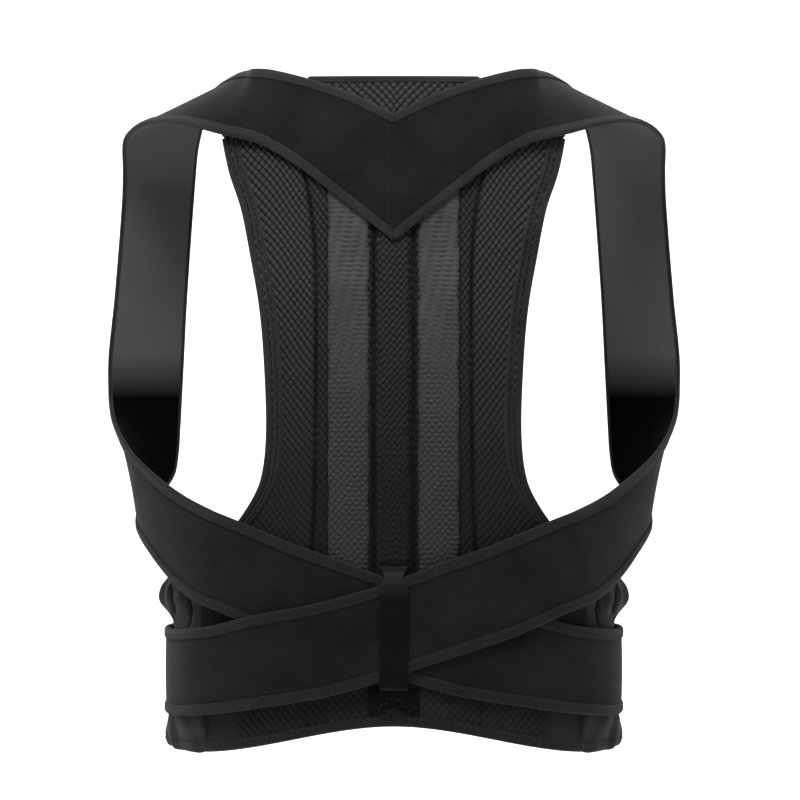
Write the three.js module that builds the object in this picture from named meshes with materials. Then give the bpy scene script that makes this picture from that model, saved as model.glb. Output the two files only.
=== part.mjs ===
// Posture corrector worn on the back, in millimetres, +Z up. The wearer faces +Y, so the back panel
// lies towards -Y. The origin is between the shoulders, at the height of the shoulder line.
// The torso itself is left out: every piece of cloth is laid on an imagined torso form, in layers.
import * as THREE from 'three';

// Torso form that the brace is cut for
const chestHalfWidth = 165;
const chestHalfDepth = 103;
const waistHalfWidth = 142;
const waistHalfDepth = 95;
const backDrop = 408;            // shoulder line down to the hem, at the centre of the back
const formSquareness = 2.4;      // 2 is an ellipse, more is boxier

// Back panel of spacer mesh
const panelWall = 3.2;
const panelRise = 6;             // top edge above the shoulder line
const panelTopHalfWidth = 110;
const panelNarrowHalfWidth = 80;
const panelHemHalfWidth = 124;
const topEdgeHalfWidth = 54;     // straight part of the top edge, before the corners fall away
const topCornerDrop = 34;
const hemDip = 20;               // the hem is this much lower at the sides than at the centre
const sideTapeWidth = 10;

// Raised pieces sewn on the panel
const coverWall = 1.2;
const coverWidth = 25.4;
const coverInset = 15.9;         // centre line to the near edge of a stay cover
const stripStart = 0.1;          // shares of the panel's height where the raised strips start, behind the
const coverEnd = 0.9;            // straps' seam, and where the covers end, behind the crossing
const centreChannelWidth = 19;
const stripEdgeWall = 0.6;       // share of coverWall left at the sewn edges of a raised strip
const stripEdgeShare = 0.2;      // share of the strip's width that thins towards each edge

// Shoulder straps, which cross on the lower back and close on the belt
const strapWidth = 55;
const strapWall = 1.8;
const strapReach = 193;          // centre line to the outer edge of the front strap
const strapStand = 103;          // scale of the straps' stand before and behind the shoulder line
const strapEndTurn = 158;        // degrees round the waist from the centre of the back
const tapeWidth = 6;
const tapeWall = 0.8;

// Waist belt: one wing on each side, lapped at the front
const wingWall = 3.2;
const beltHeight = 117;
const beltLap = 35;              // each wing passes the front centre by this much
const gatherDepth = 2.4;
const gatherCount = 5;
const gatherTurns = [46, 104];   // degrees from the centre of the back where the gathers begin and end
const beltPuff = 9;              // the belt stands out this far between the straps
const cornerPuff = 3;
const cornerRound = 22;
const beltSideRise = 3;          // the belt's hem is this much higher past the gathers
const puffBand = [0.03, 0.30];   // shares of the belt's height over which it puffs between the straps
const cornerBand = [0.86, 1.04]; // and over which it puffs below them

// Loop over the crossing, and the hook tabs
const loopWidth = 18;
const loopNeckWidth = 12;
const loopWall = 1.4;
const loopMargin = 3;            // the loop reaches this far past the straps' edges
const tabWall = 1.2;
const tabOverhang = 13;
const tabRootTurn = 12;          // degrees of a strap tab that lie under the strap
const tabMargin = 1;             // the tab stands this far past the tapes of the strap
const closureTabWidth = 56;
const closureInset = 14;         // from the belt's top and hem to the closure tab
const lapMargins = [2, 3];       // from the strap tab's end and the closure tab to the wings' lap

const clearance = 0.3;           // between pieces that lie on each other
const strapEase = 0.6;           // extra room under a strap, because a laid strap spans small hollows

const black = new THREE.Color('rgb(34, 36, 39)');
const charcoal = new THREE.Color('rgb(55, 57, 60)');
const graphite = new THREE.Color('rgb(72, 73, 76)');

// Heights of the layers above the torso form
const coverFoot = panelWall + clearance;
const coverTop = coverFoot + coverWall;
const tapeStack = strapWall / 2 + clearance + tapeWall;
const strapLayer = coverTop + strapEase + tapeStack;
const overLift = 2 * tapeStack + strapEase;
const loopFoot = strapLayer + overLift + tapeStack + clearance;
const tabFoot = wingWall + clearance;
const lapLift = wingWall + 2 * tapeWall + 3 * clearance;

// Torso form: shares of backDrop downwards, and of the chest's or the waist's half sizes
const chest = { halfWidth: chestHalfWidth, halfDepth: chestHalfDepth };
const waist = { halfWidth: waistHalfWidth, halfDepth: waistHalfDepth };
const torsoRows = [
  { drop: -0.06, girth: chest, width: 0.90, depth: 0.68 },
  { drop: 0.06, girth: chest, width: 0.97, depth: 0.86 },
  { drop: 0.25, girth: chest, width: 1.00, depth: 0.98 },
  { drop: 0.49, girth: chest, width: 0.96, depth: 1.00 },
  { drop: 0.73, girth: waist, width: 1.02, depth: 1.03 },
  { drop: 0.86, girth: waist, width: 1.00, depth: 1.00 },
  { drop: 1.08, girth: waist, width: 1.00, depth: 1.01 },
];

// Side edge of the panel: shares of its height downwards, and of the named half widths
const panelEdgeRows = [
  { down: 0.00, of: panelTopHalfWidth, width: 1.00 },
  { down: 0.07, of: panelTopHalfWidth, width: 0.946 },
  { down: 0.13, of: panelTopHalfWidth, width: 0.874 },
  { down: 0.21, of: panelTopHalfWidth, width: 0.816 },
  { down: 0.28, of: panelNarrowHalfWidth, width: 1.06 },
  { down: 0.35, of: panelNarrowHalfWidth, width: 1.025 },
  { down: 0.46, of: panelNarrowHalfWidth, width: 1.00 },
  { down: 0.52, of: panelNarrowHalfWidth, width: 1.011 },
  { down: 0.56, of: panelNarrowHalfWidth, width: 1.045 },
  { down: 0.585, of: panelHemHalfWidth, width: 0.706 },
  { down: 0.62, of: panelHemHalfWidth, width: 0.775 },
  { down: 0.655, of: panelHemHalfWidth, width: 0.863 },
  { down: 0.69, of: panelHemHalfWidth, width: 0.96 },
  { down: 0.74, of: panelHemHalfWidth, width: 1.00 },
  { down: 1.00, of: panelHemHalfWidth, width: 0.97 },
];

// Run of the left strap from the seam at the centre of the back, over the shoulder, under the arm and
// across the lower back to the other side. Of each edge (arm is the armhole edge, neck the other one):
// x is a share of strapReach, y of strapStand (front is positive) and z of backDrop. From the arm edge
// to the neck edge: dx, dy and dz are shares of strapWidth. hold is how far each edge lies on the torso
// form, 1 being wholly, and over is 1 where the right strap passes on top of the left one. steps is the
// number of facets from this row to the next one.
const strapRows = [
  { x: 0.000, y: -1.00, z: -0.244, dx: 0.00, dy: 0.00, dz: 1.45, hold: [1, 1], over: 0, steps: 1 },
  { x: -0.160, y: -1.00, z: -0.185, dx: 0.09, dy: 0.10, dz: 1.24, hold: [1, 1], over: 0, steps: 1 },
  { x: -0.311, y: -0.98, z: -0.129, dx: 0.14, dy: 0.38, dz: 1.00, hold: [1, 1], over: 0, steps: 1 },
  { x: -0.440, y: -0.915, z: -0.093, dx: 0.15, dy: 0.50, dz: 0.86, hold: [0.4, 0.8], over: 0, steps: 2 },
  { x: -0.573, y: -0.825, z: -0.075, dx: 0.32, dy: 0.60, dz: 0.76, hold: [0, 0], over: 0, steps: 2 },
  { x: -0.735, y: -0.545, z: -0.053, dx: 0.66, dy: 0.67, dz: 0.56, hold: [0, 0], over: 0, steps: 2 },
  { x: -0.858, y: -0.16, z: -0.051, dx: 0.92, dy: 0.53, dz: 0.46, hold: [0, 0], over: 0, steps: 2 },
  { x: -0.927, y: 0.14, z: -0.074, dx: 0.97, dy: 0.42, dz: 0.40, hold: [0, 0], over: 0, steps: 1 },
  { x: -0.936, y: 0.37, z: -0.118, dx: 0.87, dy: 0.42, dz: 0.33, hold: [0, 0], over: 0, steps: 1 },
  { x: -0.944, y: 0.52, z: -0.164, dx: 0.84, dy: 0.45, dz: 0.28, hold: [0, 0], over: 0, steps: 1 },
  { x: -0.973, y: 0.59, z: -0.323, dx: 0.83, dy: 0.48, dz: 0.01, hold: [0, 0], over: 0, steps: 1 },
  { x: -0.994, y: 0.58, z: -0.422, dx: 0.86, dy: 0.44, dz: -0.18, hold: [0, 0], over: 0, steps: 1 },
  { x: -0.992, y: 0.52, z: -0.483, dx: 0.82, dy: 0.46, dz: -0.45, hold: [0, 0], over: 0, steps: 2 },
  { x: -0.976, y: 0.35, z: -0.520, dx: 0.70, dy: 0.62, dz: -0.73, hold: [0, 0], over: 0, steps: 2 },
  { x: -0.938, y: 0.11, z: -0.553, dx: 0.24, dy: 0.55, dz: -0.94, hold: [0, 0], over: 0, steps: 2 },
  { x: -0.875, y: -0.16, z: -0.588, dx: 0.00, dy: 0.52, dz: -0.88, hold: [0, 0], over: 0, steps: 1 },
  { x: -0.787, y: -0.41, z: -0.621, dx: -0.15, dy: 0.50, dz: -0.85, hold: [0, 0], over: 0, steps: 1 },
  { x: -0.694, y: -0.60, z: -0.648, dx: -0.22, dy: 0.34, dz: -0.95, hold: [0.2, 0.4], over: 0.7, steps: 1 },
  { x: -0.600, y: -0.74, z: -0.669, dx: -0.26, dy: 0.20, dz: -1.02, hold: [0.95, 1], over: 1, steps: 2 },
  { x: -0.490, y: -0.84, z: -0.689, dx: -0.26, dy: 0.10, dz: -1.02, hold: [1, 1], over: 1.1, steps: 1 },
  { x: -0.339, y: -0.92, z: -0.718, dx: -0.29, dy: 0.05, dz: -1.02, hold: [1, 1], over: 1, steps: 2 },
  { x: -0.161, y: -0.98, z: -0.748, dx: -0.28, dy: 0.03, dz: -1.01, hold: [1, 1], over: 1, steps: 1 },
  { x: -0.036, y: -1.00, z: -0.770, dx: -0.14, dy: 0.00, dz: -1.03, hold: [1, 1], over: 1, steps: 1 },
  { x: 0.104, y: -1.00, z: -0.792, dx: -0.19, dy: 0.00, dz: -1.02, hold: [1, 1], over: 1, steps: 2 },
  { x: 0.285, y: -0.96, z: -0.815, dx: -0.17, dy: 0.00, dz: -1.03, hold: [1, 1], over: 1, steps: 2 },
  { x: 0.477, y: -0.88, z: -0.833, dx: -0.14, dy: 0.00, dz: -1.02, hold: [1, 1], over: 1, steps: 2 },
  { x: 0.610, y: -0.72, z: -0.851, dx: -0.09, dy: -0.03, dz: -0.98, hold: [1, 1], over: 0.6, steps: 2 },
];
// The rest of the run goes level round the waist, in rows at even turns
const waistRun = { firstTurn: 70, up: -0.860, dz: -0.99, rows: 9 };

const frontSteps = 3;
const wingRows = [0, 0.06, 0.12, 0.18, 0.24, 0.3, 0.55, 0.8, 0.86, 0.945, 1];
const panelRowCount = 20;
const gatherSteps = 4;           // grid columns to one gather

const clamp01 = (t) => Math.min(1, Math.max(0, t));
const mix = (a, b, t) => a + (b - a) * t;
const smooth = (lo, hi, t) => {
  const s = clamp01((t - lo) / (hi - lo));
  return s * s * (3 - 2 * s);
};
const radians = (degrees) => (degrees * Math.PI) / 180;
const bump = ([lo, hi], t) => Math.sin(Math.PI * clamp01((t - lo) / (hi - lo)));
const signedPower = (v, p) => Math.sign(v) * Math.abs(v) ** p;

// Smooth value through table rows: a cubic whose slope at a row comes from its two neighbours
function alongRows(rows, key, at, value) {
  const last = rows.length - 1;
  let i = 0;
  while (i < last - 1 && at > rows[i + 1][key]) i += 1;
  const slope = (k) => {
    const a = rows[Math.max(0, k - 1)];
    const b = rows[Math.min(last, k + 1)];
    return (value(b) - value(a)) / (b[key] - a[key]);
  };
  const span = rows[i + 1][key] - rows[i][key];
  const t = clamp01((at - rows[i][key]) / span);
  const near = value(rows[i]);
  const far = value(rows[i + 1]);
  const rise = far - near;
  const bend = (1 - t) * (slope(i) * span - rise) + t * (rise - slope(i + 1) * span);
  return mix(near, far, t) + t * (1 - t) * bend;
}

const torsoAt = (z, out) => ({
  a: alongRows(torsoRows, 'drop', -z / backDrop, (r) => r.girth.halfWidth * r.width) + out,
  b: alongRows(torsoRows, 'drop', -z / backDrop, (r) => r.girth.halfDepth * r.depth) + out,
});

// Point on a layer: turn in radians from the centre of the back, positive towards +X
function layerPoint(turn, z, out) {
  const { a, b } = torsoAt(z, out);
  const power = 2 / formSquareness;
  const x = a * signedPower(Math.sin(turn), power);
  const y = -b * signedPower(Math.cos(turn), power);
  return new THREE.Vector3(x, y, z);
}

// Turn at which a layer reaches x, on the back
function turnAtX(x, z, out) {
  const { a } = torsoAt(z, out);
  return Math.asin(signedPower(Math.max(-1, Math.min(1, x / a)), formSquareness / 2));
}

// Turn at which the belt reaches x on the front; a negative x is past the centre
function turnAtFront(x) {
  const { a } = torsoAt(-backDrop - hemDip + beltHeight / 2, wingWall);
  return Math.PI - Math.asin(signedPower(x / a, formSquareness / 2));
}

const backPoint = (x, z, out) => layerPoint(turnAtX(x, z, out), z, out);

// Moves a point sideways onto a layer, straight away from the torso's axis
function ontoLayer(point, out) {
  const { a, b } = torsoAt(point.z, out);
  const level = (Math.abs(point.x / a) ** formSquareness + Math.abs(point.y / b) ** formSquareness)
    ** (1 / formSquareness);
  return new THREE.Vector3(point.x / level, point.y / level, point.z);
}

// Closed solid between two grids of points of the same size, an outer skin and an inner skin. Each
// four-sided cell is split along a diagonal; turned splits the inner skin's cells the other way, which
// makes a cloth wall match the channel of tape folded round its edge.
function skinsToGeometry(outer, inner, turned = false) {
  const rows = outer.length;
  const columns = outer[0].length;
  const points = [...outer.flat(), ...inner.flat()];
  const at = (side, i, j) => side * rows * columns + i * columns + j;
  const faces = [];
  const quad = (a, b, c, d) => faces.push([a, b, c], [a, c, d]);
  for (let i = 0; i < rows - 1; i += 1) {
    for (let j = 0; j < columns - 1; j += 1) {
      quad(at(0, i, j), at(0, i + 1, j), at(0, i + 1, j + 1), at(0, i, j + 1));
      const cell = [at(1, i, j), at(1, i, j + 1), at(1, i + 1, j + 1), at(1, i + 1, j)];
      if (turned) cell.push(cell.shift());
      quad(...cell);
    }
    quad(at(0, i, 0), at(1, i, 0), at(1, i + 1, 0), at(0, i + 1, 0));
    const j = columns - 1;
    quad(at(0, i, j), at(0, i + 1, j), at(1, i + 1, j), at(1, i, j));
  }
  for (let j = 0; j < columns - 1; j += 1) {
    quad(at(0, 0, j), at(0, 0, j + 1), at(1, 0, j + 1), at(1, 0, j));
    const i = rows - 1;
    quad(at(0, i, j), at(1, i, j), at(1, i, j + 1), at(0, i, j + 1));
  }
  let volume = 0;
  for (const [a, b, c] of faces) volume += points[a].dot(points[b].clone().cross(points[c])) / 6;
  const facing = volume < 0 ? faces.map(([a, b, c]) => [a, c, b]) : faces;
  const geometry = new THREE.BufferGeometry();
  const numbers = points.flatMap((p) => p.toArray());
  geometry.setAttribute('position', new THREE.Float32BufferAttribute(numbers, 3));
  geometry.setIndex(facing.flat());
  geometry.computeVertexNormals();
  return geometry;
}

// Unit normals of a grid of points, from its neighbours along both ways of the grid
function gridNormals(grid, outward) {
  return grid.map((row, i) => row.map((_, j) => {
    const down = grid[Math.min(i + 1, grid.length - 1)][j].clone().sub(grid[Math.max(i - 1, 0)][j]);
    const side = row[Math.min(j + 1, row.length - 1)].clone().sub(row[Math.max(j - 1, 0)]);
    return down.cross(side).normalize().multiplyScalar(outward);
  }));
}

const offsetGrid = (grid, normals, by) => grid.map((row, i) => row.map((p, j) => p.clone()
  .addScaledVector(normals[i][j], by)));

// Folded edge tape: a channel round the edge of a cloth wall, which reaches from the edge to the next
// line of the cloth's grid. cells are the grid places along the edge, and inward is the step from one
// into the cloth.
function foldedTape(cloth, cells, inward) {
  const pair = ([i, j]) => ({ outer: cloth.outer[i][j], inner: cloth.inner[i][j] });
  const channel = (cell, depth) => {
    const edge = pair(cell);
    const next = pair([cell[0] + inward[0], cell[1] + inward[1]]);
    const edgeNormal = edge.outer.clone().sub(edge.inner).normalize();
    const nextNormal = next.outer.clone().sub(next.inner).normalize();
    const awayOut = edge.outer.clone().sub(next.outer).normalize();
    const awayIn = edge.inner.clone().sub(next.inner).normalize();
    const section = [
      next.outer.clone().addScaledVector(nextNormal, depth).addScaledVector(awayOut, clearance),
      edge.outer.clone().addScaledVector(edgeNormal, depth).addScaledVector(awayOut, depth),
      edge.inner.clone().addScaledVector(edgeNormal, -depth).addScaledVector(awayIn, depth),
      next.inner.clone().addScaledVector(nextNormal, -depth).addScaledVector(awayIn, clearance),
    ];
    return inward[0] + inward[1] > 0 ? section.reverse() : section;
  };
  return skinsToGeometry(
    cells.map((cell) => channel(cell, clearance + tapeWall)),
    cells.map((cell) => channel(cell, clearance)),
  );
}

const group = new THREE.Group();
function addPiece(name, geometry, colour, roughness) {
  const material = new THREE.MeshStandardMaterial({ color: colour, roughness, metalness: 0 });
  const mesh = new THREE.Mesh(geometry, material);
  mesh.name = name;
  group.add(mesh);
}

// Outline of the panel: heights of its top edge and hem, and half widths by share of the height
const topEdgeAt = (x) => {
  const past = clamp01((Math.abs(x) - topEdgeHalfWidth) / (panelTopHalfWidth - topEdgeHalfWidth));
  return panelRise - topCornerDrop * Math.sin((Math.PI / 2) * past);
};
const hemLevelAt = 1.15 * panelHemHalfWidth;
const hemAt = (x) => -backDrop - hemDip * smooth(0, hemLevelAt, Math.abs(x));
const sideTop = topEdgeAt(panelTopHalfWidth);
const sideHem = hemAt(panelHemHalfWidth);
const panelEdgeAt = (down) => alongRows(panelEdgeRows, 'down', down, (r) => r.of * r.width);
const panelEdgeAtHeight = (z) => panelEdgeAt(clamp01((z - sideTop) / (sideHem - sideTop)));

const beltTop = -backDrop - hemDip + beltHeight;

// Where the strap's end and its tab stop, and where the right wing climbs over the left one
const strapEnd = radians(strapEndTurn);
const waistReach = torsoAt(beltTop - beltHeight / 2, wingWall).a;
const strapEndX = waistReach * Math.sin(strapEnd) ** (2 / formSquareness);
const strapTabEnd = turnAtFront(strapEndX - tabOverhang);
const lapStart = turnAtFront(strapEndX - tabOverhang - lapMargins[0]);
const lapFull = turnAtFront(closureTabWidth / 2 + lapMargins[1]);
const seamDown = (beltTop - sideTop) / (sideHem - sideTop);
const tapeDown = (tapeWidth + 2 * clearance) / (sideTop - sideHem);

// Rows of the panel's grid: one at the reach of the tape at each end, one where the belt begins
function panelDowns() {
  const downs = [0, tapeDown];
  const upper = Math.round(panelRowCount * seamDown);
  const lower = panelRowCount - upper;
  for (let i = 1; i <= upper; i += 1) downs.push(mix(tapeDown, seamDown, i / upper));
  for (let i = 1; i < lower; i += 1) downs.push(mix(seamDown, 1 - tapeDown, i / lower));
  return [...downs, 1 - tapeDown, 1];
}
const downs = panelDowns();
const seamRow = downs.indexOf(seamDown);

// Places across the panel: the edges of what is sewn on, two steps over the open mesh, then the reach
// of the side tape and the edge
function panelXs(down) {
  const edge = panelEdgeAt(down);
  const inner = edge - sideTapeWidth;
  const coverEdge = coverInset + coverWidth;
  const open = [0.36, 0.7].map((share) => mix(coverEdge, inner, share));
  const right = [centreChannelWidth / 2, coverInset, coverEdge, ...open, inner, edge];
  return [...right.map((x) => -x).reverse(), ...right];
}

const panelHeight = (x, down) => {
  const share = Math.abs(x) / panelEdgeAt(down);
  const top = topEdgeAt(share * panelTopHalfWidth);
  return mix(top, hemAt(share * panelHemHalfWidth), down);
};

function buildPanel() {
  const rowAt = (down, out) => panelXs(down).map((x) => backPoint(x, panelHeight(x, down), out));
  const skin = (out) => downs.map((down) => rowAt(down, out));
  const cloth = { outer: skin(panelWall), inner: skin(0) };
  addPiece('back_panel', skinsToGeometry(cloth.outer, cloth.inner, true), black, 0.95);

  const lastRow = downs.length - 1;
  const lastColumn = cloth.outer[0].length - 1;
  const sideRows = downs.map((_, i) => i).slice(1, seamRow);
  const columns = cloth.outer[0].map((_, j) => j);
  const tapes = [
    { place: 'left', cells: sideRows.map((i) => [i, 0]), inward: [0, 1] },
    { place: 'right', cells: sideRows.map((i) => [i, lastColumn]), inward: [0, -1] },
    { place: 'top', cells: columns.map((j) => [0, j]), inward: [1, 0] },
    { place: 'hem', cells: columns.map((j) => [lastRow, j]), inward: [-1, 0] },
  ];
  for (const { place, cells, inward } of tapes) {
    addPiece(`panel_binding_${place}`, foldedTape(cloth, cells, inward), charcoal, 0.8);
  }
}

// A strip sewn along the panel between two places across it, slightly thinner at its edges, down to a
// share of the panel's height
function panelStrip(name, from, to, end, colour) {
  const edge = stripEdgeShare * (to - from);
  const xs = [from, from + edge, to - edge, to];
  const thick = [stripEdgeWall, 1, 1, stripEdgeWall];
  const rows = downs.slice(1, -1).filter((down) => down >= stripStart && down <= end);
  const skin = (lift) => rows.map((down) => xs.map((x, j) => backPoint(
    x,
    panelHeight(x, down),
    coverFoot + lift * thick[j] * coverWall,
  )));
  addPiece(name, skinsToGeometry(skin(1), skin(0)), colour, 0.9);
}

// One wing of the waist belt, side -1 is the left one. Its grid counts places round the waist: 0 at the
// panel's seam, 1 to 2 over the gathers, 3 to 4 where it climbs for the lap, 5 at its end.
function wingShape(side) {
  const lapped = side > 0 ? 1 : 0;
  const [gatherFrom, gatherTo] = gatherTurns.map(radians);
  const gatherColumns = gatherCount * gatherSteps;
  const places = [0];
  for (let i = 0; i <= gatherColumns; i += 1) places.push(1 + i / gatherColumns);
  for (let i = 1; i <= frontSteps; i += 1) places.push(2 + i / frontSteps);
  places.push(3.5, 4, 4.6, 5);
  const columnTurn = (place, z, out) => {
    const seam = turnAtX(panelEdgeAtHeight(z) + clearance, z, out);
    const stops = [seam, Math.max(gatherFrom, seam + radians(3)), gatherTo,
      lapStart, lapFull, turnAtFront(-beltLap)];
    const k = Math.min(Math.floor(place), stops.length - 2);
    return mix(stops[k], stops[k + 1], place - k);
  };
  const puff = (place, down) => {
    const across = bump([1.1, 2.4], place);
    const band = bump(puffBand, down) ** 1.5;
    const corner = bump(cornerBand, down) ** 2;
    const gathers = 1 + Math.cos(2 * Math.PI * gatherCount * clamp01(place - 1));
    const fade = smooth(1.05, 1.35, place) * (1 - smooth(1.9, 2.1, place));
    return across * (band * (beltPuff - gatherDepth) + corner * cornerPuff)
      + fade * (band + 0.5 * corner) * (gatherDepth / 2) * gathers;
  };
  const endRound = (place) => {
    const past = clamp01((place - 4.6) / 0.4);
    return cornerRound * (1 - Math.sqrt(1 - past * past));
  };
  const skin = (out) => wingRows.map((down) => places.map((place) => {
    const seamHem = hemAt(panelEdgeAt(1));
    const hem = mix(seamHem, -backDrop - hemDip, smooth(0, 1, place)) + endRound(place)
      + beltSideRise * smooth(1.3, 2, place);
    const top = beltTop - endRound(place);
    const z = mix(top, hem, down);
    const turn = columnTurn(place, z, out);
    const lap = lapped * lapLift * clamp01(place - 3);
    const p = layerPoint(turn, z, out + puff(place, down) + lap);
    return new THREE.Vector3(side * p.x, p.y, p.z);
  }));
  return { outer: skin(wingWall), inner: skin(0) };
}

function buildWing(side, word) {
  const cloth = wingShape(side);
  addPiece(`belt_wing_${word}`, skinsToGeometry(cloth.outer, cloth.inner, true), graphite, 0.85);
  const last = cloth.outer.length - 1;
  const cells = cloth.outer[last].map((_, j) => [last, j]).slice(0, -2);
  addPiece(`belt_binding_${word}`, foldedTape(cloth, cells, [-1, 0]), charcoal, 0.8);
}

// Places along a strap's run, counted in rows
function runPlaces(lastRow) {
  const places = [];
  for (let row = 0; row < lastRow; row += 1) {
    const steps = row < strapRows.length ? strapRows[row].steps : 1;
    for (let i = 0; i < steps; i += 1) places.push(row + i / steps);
  }
  return [...places, lastRow];
}

// Middle surface of one strap as a grid: steps along the run, columns from arm edge to neck edge
function strapGrid(side) {
  const lifts = side > 0 ? 1 : 0;
  const tapeShare = tapeWidth / strapWidth;
  const shares = [0, tapeShare, 0.5, 1 - tapeShare, 1];
  const start = clearance / 2;
  const backRows = strapRows.map((r) => shares.map((s) => {
    const x = r.x * strapReach + s * r.dx * strapWidth;
    const y = r.y * strapStand + s * r.dy * strapWidth;
    const z = r.z * backDrop + s * r.dz * strapWidth;
    const hold = mix(r.hold[0], r.hold[1], s);
    const out = strapLayer + lifts * overLift * r.over;
    const free = new THREE.Vector3(Math.abs(x) < start ? -start : x, y, z);
    const laid = hold > 0 ? backPoint(free.x, z, out) : free;
    return { point: free.clone().lerp(laid, hold), hold, out };
  }));
  const roundRows = Array.from({ length: waistRun.rows }, (_, i) => shares.map((s) => {
    const turn = mix(radians(waistRun.firstTurn), strapEnd, i / (waistRun.rows - 1));
    const z = waistRun.up * backDrop + s * waistRun.dz * strapWidth;
    return { point: layerPoint(turn, z, strapLayer), hold: 1, out: strapLayer };
  }));
  const rows = [...backRows, ...roundRows];
  const edges = shares.map((_, j) => rows.map((r) => r[j].point));
  const columns = edges.map((points) => new THREE.CatmullRomCurve3(points, false, 'centripetal'));
  const grid = [];
  for (const row of runPlaces(rows.length - 1)) {
    const near = Math.min(Math.floor(row), rows.length - 2);
    grid.push(columns.map((curve, j) => {
      const point = curve.getPoint(row / (rows.length - 1));
      const hold = mix(rows[near][j].hold, rows[near + 1][j].hold, row - near);
      const out = mix(rows[near][j].out, rows[near + 1][j].out, row - near);
      const settled = hold > 0 ? point.clone().lerp(ontoLayer(point, out), hold) : point;
      return new THREE.Vector3(-side * settled.x, settled.y, settled.z);
    }));
  }
  return grid;
}

function buildStrap(side, word) {
  const grid = strapGrid(side);
  const normals = gridNormals(grid, 1);
  const [backRow] = normals;
  const outward = Math.sign(-backRow[0].y);
  for (const row of normals) for (const n of row) n.multiplyScalar(outward);
  const half = strapWall / 2;
  const cloth = { outer: offsetGrid(grid, normals, half), inner: offsetGrid(grid, normals, -half) };
  addPiece(`strap_${word}`, skinsToGeometry(cloth.outer, cloth.inner, true), black, 0.9);
  const last = grid[0].length - 1;
  const arm = foldedTape(cloth, grid.map((_, i) => [i, 0]), [0, 1]);
  const neck = foldedTape(cloth, grid.map((_, i) => [i, last]), [0, -1]);
  addPiece(`strap_binding_arm_${word}`, arm, charcoal, 0.8);
  addPiece(`strap_binding_neck_${word}`, neck, charcoal, 0.8);
  return grid;
}

// Patch of hook tape on the outside of the belt, between two turns and two heights
function waistPatch(name, turns, heights) {
  const shares = [0, 0.25, 0.5, 0.75, 1];
  const skin = (out) => shares.map((down) => shares.map((side) => layerPoint(
    mix(turns[0], turns[1], side),
    mix(heights[0], heights[1], down),
    out,
  )));
  addPiece(name, skinsToGeometry(skin(tabFoot + tabWall), skin(tabFoot)), graphite, 0.9);
}

function buildTabs() {
  const edge = waistRun.up * backDrop;
  const rim = tapeWidth + tabMargin;
  const heights = [edge - rim, edge + waistRun.dz * strapWidth + rim];
  const root = strapEnd - radians(tabRootTurn);
  waistPatch('strap_tab_left', [-root, -strapTabEnd], heights);
  waistPatch('strap_tab_right', [root, strapTabEnd], heights);
  const half = closureTabWidth / 2;
  const closureHeights = [beltTop - closureInset, beltTop - beltHeight + closureInset];
  waistPatch('closure_tab', [turnAtFront(half), turnAtFront(-half)], closureHeights);
}

// Height of one edge of a strap where its lower stretch passes x
function lowerEdgeHeight(grid, column, x) {
  const at = grid.findIndex((row, i) => i > grid.length / 2 && row[column].x > x);
  const before = grid[at - 1][column];
  const after = grid[at][column];
  return mix(before.z, after.z, (x - before.x) / (after.x - before.x));
}

// Loop that holds the crossing: sewn to the panel above and below it, with a small flared tab on top
function buildLoop(grid) {
  const reach = loopWidth / 2 + loopMargin;
  const neckColumn = grid[0].length - 1;
  const high = lowerEdgeHeight(grid, 0, -reach);
  const low = lowerEdgeHeight(grid, neckColumn, reach);
  const foot = coverTop + clearance;
  const half = loopWidth / 2;
  const neck = loopNeckWidth / 2;
  const rows = [
    { z: high + 1.0 * half, out: foot, half },
    { z: high + 0.6 * half, out: foot, half: mix(neck, half, 0.4) },
    { z: high + 0.25 * half, out: loopFoot, half: neck },
    { z: high - 0.4 * half, out: loopFoot, half },
    { z: mix(high, low, 0.33), out: loopFoot, half },
    { z: mix(high, low, 0.67), out: loopFoot, half },
    { z: low - 0.25 * half, out: loopFoot, half },
    { z: low - 0.6 * half, out: foot, half },
    { z: low - 1.0 * half, out: foot, half },
  ];
  const skin = (lift) => rows.map((r) => [-1, 0, 1].map((s) => backPoint(s * r.half, r.z, r.out + lift)));
  addPiece('crossing_loop', skinsToGeometry(skin(loopWall), skin(0)), charcoal, 0.8);
}

buildPanel();
panelStrip('centre_channel', -centreChannelWidth / 2, centreChannelWidth / 2, 1, black);
panelStrip('stay_cover_left', -coverInset - coverWidth, -coverInset, coverEnd, graphite);
panelStrip('stay_cover_right', coverInset, coverInset + coverWidth, coverEnd, graphite);
buildWing(-1, 'left');
buildWing(1, 'right');
const leftRun = buildStrap(-1, 'left');
buildStrap(1, 'right');
buildLoop(leftRun);
buildTabs();

export default group;
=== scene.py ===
# %% [markdown]
# # A posture corrector, seen from behind
#
# The brace is cloth all over: an hourglass back panel of spacer mesh, two wide straps, a gathered
# waist belt and folded tapes on every edge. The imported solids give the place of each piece. Here
# each one is made again as cloth, with its weave, its stitches and its soft folds.

# %% Load the frame
import math

import bmesh
import bpy
import numpy as np
from mathutils import Matrix, Vector


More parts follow.
